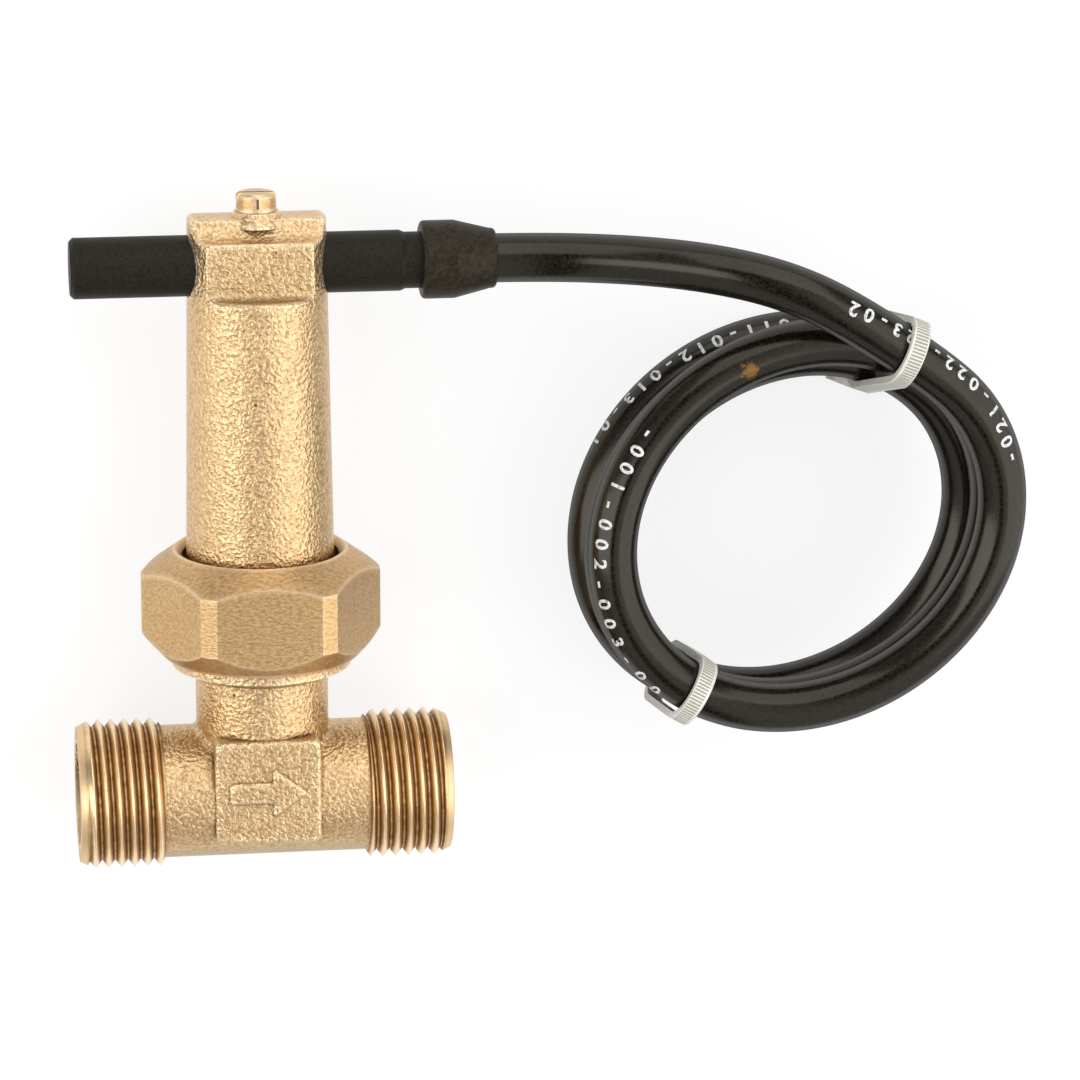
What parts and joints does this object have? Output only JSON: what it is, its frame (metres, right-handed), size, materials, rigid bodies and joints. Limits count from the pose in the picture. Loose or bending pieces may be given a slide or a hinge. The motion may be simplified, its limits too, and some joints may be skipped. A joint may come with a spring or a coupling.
{
  "type": "flow switch",
  "caption": "Brass in-line paddle flow switch: threaded tee, union nut, tapered housing with a flared head, clamped reed probe and a coiled, tied cable",
  "frame": {"origin": "the middle of the union nut's back flat, on which the switch lies", "axes": "+X from the inlet to the outlet, +Y from the pipe run to the head of the housing, +Z out of the front"},
  "size_m": [0.1328, 0.0957, 0.0316],
  "materials": {
    "cast_brass": "blasted casting",
    "turned_brass": "turned",
    "steel": "satin",
    "magnet_steel": "plated",
    "black_plastic": "satin",
    "core_plastic": "satin",
    "boot_rubber": "satin",
    "gasket_rubber": "matte",
    "cable_sheath": "satin",
    "tie_nylon": "satin",
    "glass": "clear"
  },
  "bodies": {
    "tee": {"tee_body": "cast_brass", "union_gasket": "gasket_rubber", "pivot_carrier": "turned_brass", "pivot_pin": "steel", "return_spring": "steel", "housing": "cast_brass"},
    "nut": {"union_nut": "turned_brass"},
    "paddle": {"lever": "steel", "paddle_blade": "steel", "paddle_rivets": "steel", "magnet_holder": "black_plastic", "magnet": "magnet_steel"},
    "probe": {"reed_tube": "black_plastic", "reed_capsule": "glass", "reed_blade_left": "steel", "reed_blade_right": "steel", "core_wires": "core_plastic", "potting_resin": "black_plastic", "strain_relief": "boot_rubber", "cable_lead": "cable_sheath", "cable_coil": "cable_sheath", "cable_tie_upper": "tie_nylon", "cable_tie_lower": "tie_nylon"},
    "pad": {"pressure_pad": "turned_brass"},
    "screw": {"set_screw": "turned_brass"}
  },
  "joints": [
    {"name": "nut_turn", "type": "hinge", "parent": "tee", "child": "nut", "pos_m": [0, 0, 0.015], "axis": [0, 1, 0], "continuous": true},
    {"name": "paddle_hinge", "type": "hinge", "parent": "tee", "child": "paddle", "pos_m": [0, -0.0007, 0.015], "axis": [0, 0, 1], "range_deg": [0, 12], "stiffness_Nm_per_rad": 0.005, "springref_deg": -14.9, "deforming": ["return_spring"]},
    {"name": "probe_slide", "type": "slide", "parent": "tee", "child": "probe", "axis": [1, 0, 0], "range_m": [-0.012, 0.022]},
    {"name": "screw_turn", "type": "hinge", "parent": "pad", "child": "screw", "pos_m": [0, 0.055, 0.015], "axis": [0, 1, 0], "range_deg": [0, 720]},
    {"name": "pad_slide", "type": "slide", "parent": "tee", "child": "pad", "axis": [0, 1, 0], "range_m": [0, 0.001]}
  ],
  "couplings": [
    {"joint": "screw_turn", "follows": "pad_slide", "rad_per_m": 12566}
  ]
}
